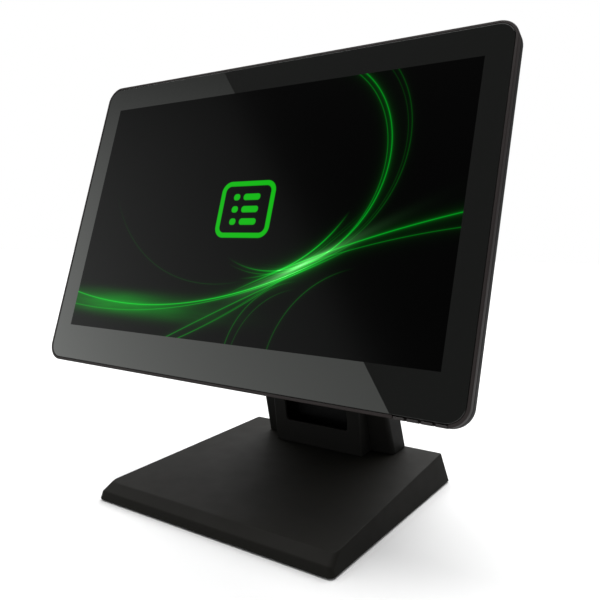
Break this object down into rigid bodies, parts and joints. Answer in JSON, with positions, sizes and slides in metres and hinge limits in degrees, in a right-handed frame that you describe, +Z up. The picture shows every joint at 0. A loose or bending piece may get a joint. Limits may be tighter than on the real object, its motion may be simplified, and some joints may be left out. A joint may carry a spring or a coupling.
{
  "type": "pos touchscreen terminal",
  "caption": "All-in-one checkout terminal: flat glass touchscreen head that tilts on a friction hinge, leaning neck with a cable window, wedge-shaped weighted base.",
  "frame": {"origin": "on the floor under the middle of the base", "axes": "+Z up; the screen faces -Y; +X is to the viewer's right when facing the screen"},
  "size_m": [0.3848, 0.219, 0.3628],
  "materials": {
    "base_plastic": "fine-textured black moulded plastic",
    "neck_plastic": "fine-textured black moulded plastic",
    "cover_plastic": "fine-textured black moulded plastic",
    "frame_plastic": "satin black",
    "cover_glass": "polished flat glass with a black printed border over the picture",
    "lcd": "display panel",
    "foam_tape": "black adhesive foam",
    "black_moulding": "plain black moulding",
    "plated_steel": "zinc-plated sheet steel",
    "coated_steel": "black powder coat on sheet steel",
    "fastener_steel": "blackened steel",
    "bright_steel": "bright tinned steel",
    "circuit_board": "green solder mask",
    "aluminium": "extruded, plain",
    "rubber": "black rubber"
  },
  "bodies": {
    "stand": {"base_cover": "base_plastic", "ballast_plate": "plated_steel", "rubber_foot_1": "rubber", "rubber_foot_2": "rubber", "rubber_foot_3": "rubber", "rubber_foot_4": "rubber", "base_screw_1": "fastener_steel", "base_screw_2": "fastener_steel", "base_screw_3": "fastener_steel", "base_screw_4": "fastener_steel", "bracket_screw_1": "fastener_steel", "bracket_screw_2": "fastener_steel", "bracket_screw_3": "fastener_steel", "bracket_screw_4": "fastener_steel", "neck_rear_shell": "neck_plastic", "neck_front_cover": "neck_plastic", "neck_bracket": "coated_steel", "neck_screw_left": "fastener_steel", "neck_screw_right": "fastener_steel", "hinge_sleeve": "neck_plastic"},
    "head": {"front_glass": "cover_glass", "glass_tape": "foam_tape", "front_frame": "frame_plastic", "lcd_panel": "lcd", "lcd_chassis": "plated_steel", "rear_cover": "cover_plastic", "cover_screw_1": "fastener_steel", "cover_screw_2": "fastener_steel", "cover_screw_3": "fastener_steel", "cover_screw_4": "fastener_steel", "key_board": "circuit_board", "main_board": "circuit_board", "heat_sink": "aluminium", "memory_module": "circuit_board", "solid_state_drive": "bright_steel", "touch_controller": "circuit_board", "speaker_left": "black_moulding", "speaker_right": "black_moulding", "io_plate": "bright_steel", "lan_port": "bright_steel", "usb_port_1": "bright_steel", "usb_port_2": "bright_steel", "power_inlet": "black_moulding", "hinge_plate": "coated_steel", "plate_screw_1": "fastener_steel", "plate_screw_2": "fastener_steel", "plate_screw_3": "fastener_steel", "plate_screw_4": "fastener_steel", "hinge_shaft": "fastener_steel", "friction_washer_left": "fastener_steel", "friction_washer_right": "fastener_steel", "shaft_nut_left": "fastener_steel", "shaft_nut_right": "fastener_steel", "hinge_cap_left": "neck_plastic", "hinge_cap_right": "neck_plastic"},
    "power_key": {"power_key": "frame_plastic"},
    "menu_key": {"menu_key": "frame_plastic"},
    "minus_key": {"minus_key": "frame_plastic"},
    "plus_key": {"plus_key": "frame_plastic"}
  },
  "joints": [
    {"name": "head_tilt", "type": "hinge", "parent": "stand", "child": "head", "pos_m": [0, 0.0125, 0.203], "axis": [-1, 0, 0], "range_deg": [-11, 54]},
    {"name": "power_key_press", "type": "slide", "parent": "head", "child": "power_key", "axis": [0, 0.2746, 0.9615], "range_m": [0, 0.0004], "stiffness_N_per_m": 300},
    {"name": "menu_key_press", "type": "slide", "parent": "head", "child": "menu_key", "axis": [0, 0.2746, 0.9615], "range_m": [0, 0.0004], "stiffness_N_per_m": 300},
    {"name": "minus_key_press", "type": "slide", "parent": "head", "child": "minus_key", "axis": [0, 0.2746, 0.9615], "range_m": [0, 0.0004], "stiffness_N_per_m": 300},
    {"name": "plus_key_press", "type": "slide", "parent": "head", "child": "plus_key", "axis": [0, 0.2746, 0.9615], "range_m": [0, 0.0004], "stiffness_N_per_m": 300}
  ]
}
